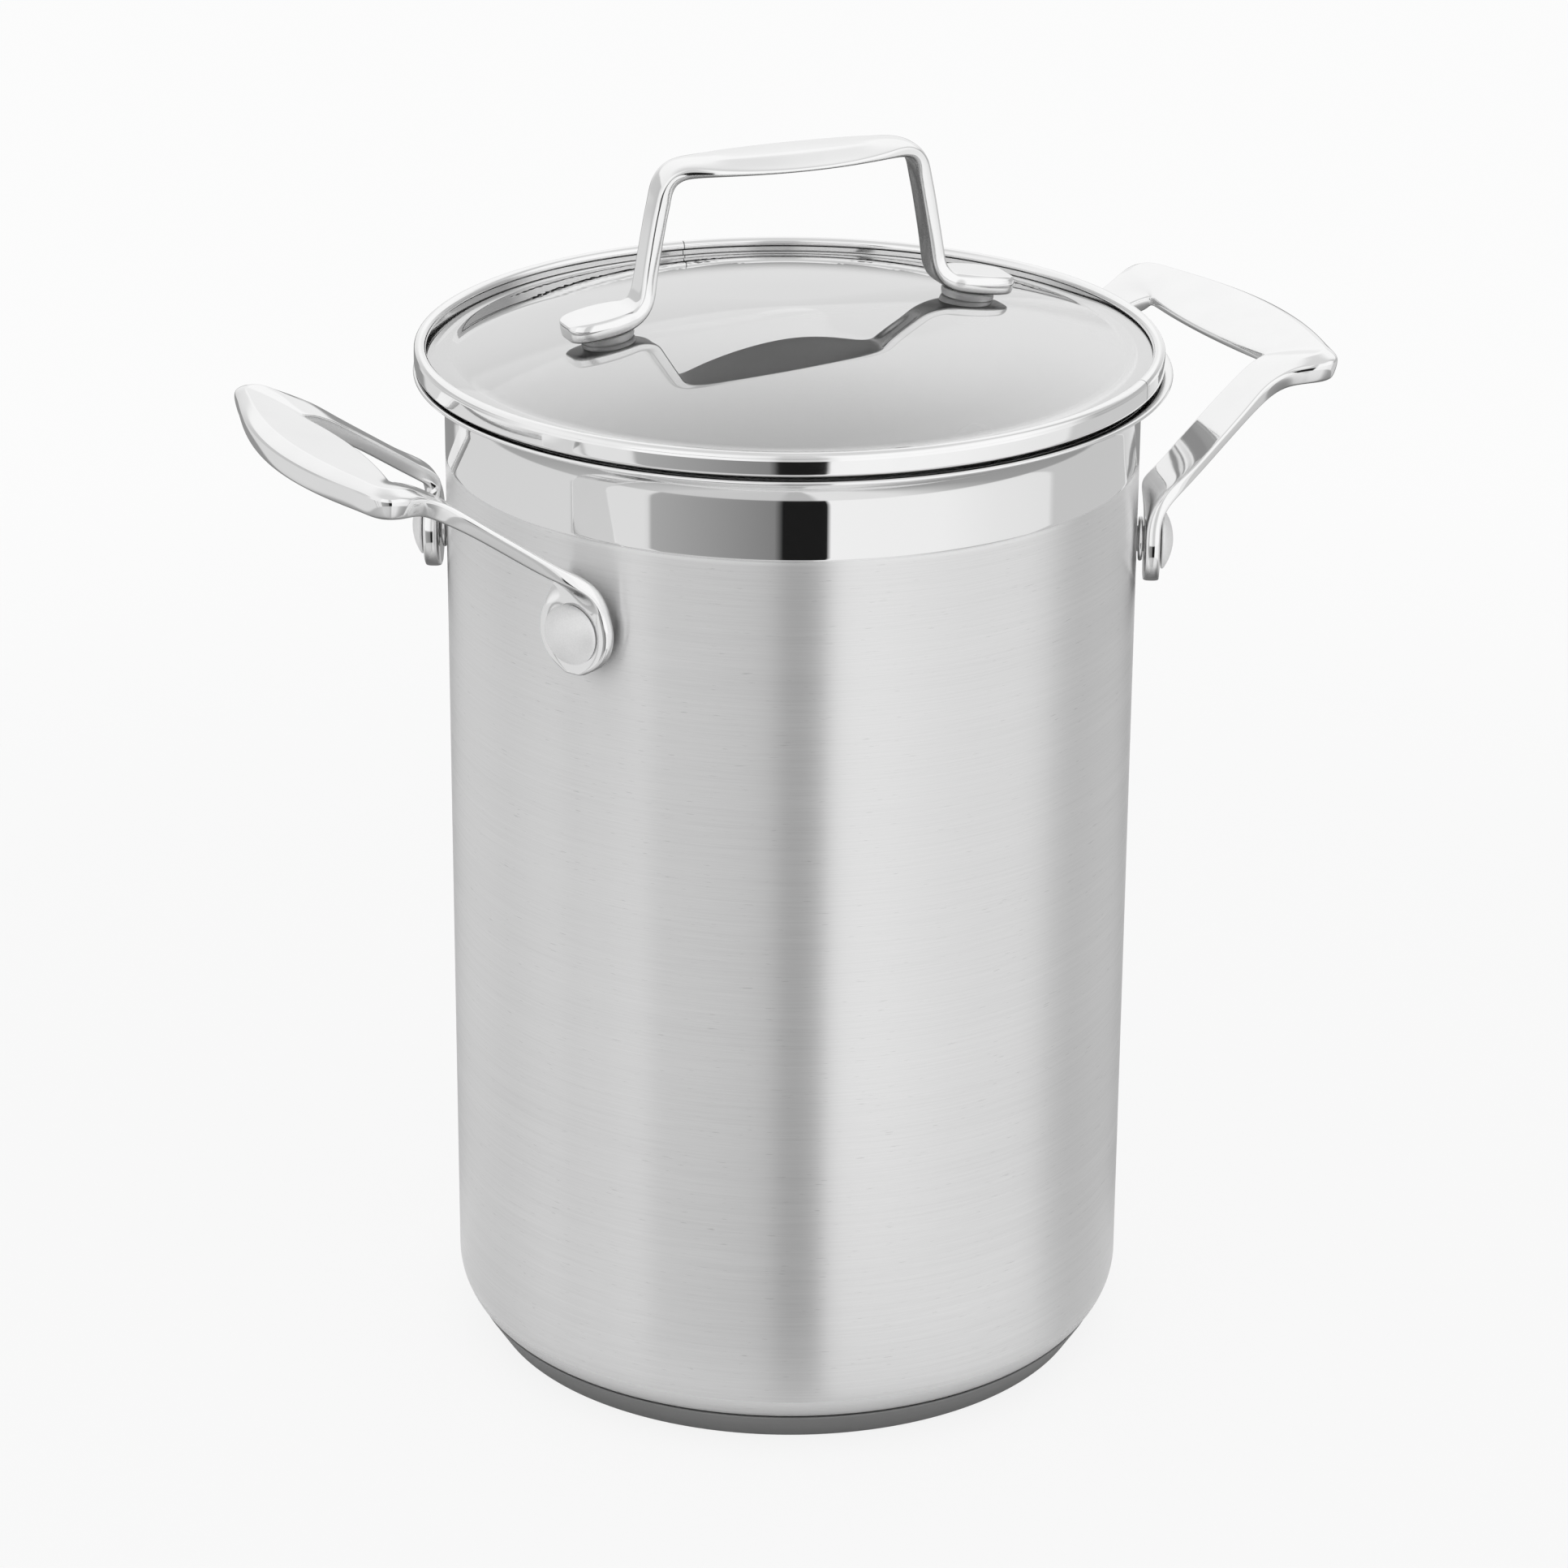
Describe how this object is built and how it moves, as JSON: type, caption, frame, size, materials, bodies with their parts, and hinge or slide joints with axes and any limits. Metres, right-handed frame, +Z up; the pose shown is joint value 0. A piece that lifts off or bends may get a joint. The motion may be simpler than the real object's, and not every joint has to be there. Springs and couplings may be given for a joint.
{
  "type": "asparagus pot",
  "caption": "Tall narrow steel pot with riveted strap handles, a domed glass lid with a steel grip, and a perforated lift-out basket with folding wire handles.",
  "frame": {"origin": "on the surface that the pot stands on, under the pot's axis", "axes": "+Z up along the pot's axis, +X out through the right side handle"},
  "size_m": [0.2612, 0.1762, 0.2937],
  "materials": {
    "brushed_steel": "satin, brushed around the wall",
    "base_steel": "dark matt steel",
    "aluminium": "plain rolled",
    "polished_steel": "mirror polished stainless steel",
    "satin_steel": "fine matt",
    "clear_glass": "clear and smooth",
    "silicone": "translucent, smooth",
    "basket_steel": "bright satin"
  },
  "bodies": {
    "pot": {"pot_body": "brushed_steel", "base_cap": "base_steel", "base_core": "aluminium", "handle_right": "polished_steel", "handle_left": "polished_steel", "rivet_right_front": "satin_steel", "rivet_right_back": "satin_steel", "rivet_left_front": "satin_steel", "rivet_left_back": "satin_steel", "spacer_right_front": "polished_steel", "spacer_right_back": "polished_steel", "spacer_left_front": "polished_steel", "spacer_left_back": "polished_steel"},
    "lid": {"lid_glass": "clear_glass", "lid_band": "polished_steel", "rim_seal": "silicone", "lid_handle": "polished_steel", "foot_washer_right": "silicone", "foot_washer_left": "silicone", "under_washer_right": "silicone", "under_washer_left": "silicone", "lid_screw_right": "satin_steel", "lid_screw_left": "satin_steel"},
    "basket": {"basket_shell": "basket_steel", "basket_foot_1": "basket_steel", "basket_foot_2": "basket_steel", "basket_foot_3": "basket_steel", "basket_bracket_right": "basket_steel", "basket_bracket_left": "basket_steel", "bracket_rivet_right_front": "satin_steel", "bracket_rivet_right_back": "satin_steel", "bracket_rivet_left_front": "satin_steel", "bracket_rivet_left_back": "satin_steel"},
    "ring_right": {"basket_handle_right": "polished_steel"},
    "ring_left": {"basket_handle_left": "polished_steel"}
  },
  "joints": [
    {"name": "lid_lift", "type": "slide", "parent": "pot", "child": "lid", "axis": [0, 0, 1], "range_m": [0, 0.28]},
    {"name": "basket_lift", "type": "slide", "parent": "pot", "child": "basket", "axis": [0, 0, 1], "range_m": [0, 0.245]},
    {"name": "handle_right_fold", "type": "hinge", "parent": "basket", "child": "ring_right", "pos_m": [0.0658, 0, 0.1685], "axis": [0, 1, 0], "range_deg": [0, 180]},
    {"name": "handle_left_fold", "type": "hinge", "parent": "basket", "child": "ring_left", "pos_m": [-0.0658, 0, 0.1685], "axis": [0, -1, 0], "range_deg": [0, 180]}
  ],
  "couplings": [
    {"joint": "basket_lift", "follows": "lid_lift", "ratio": 0.875}
  ]
}
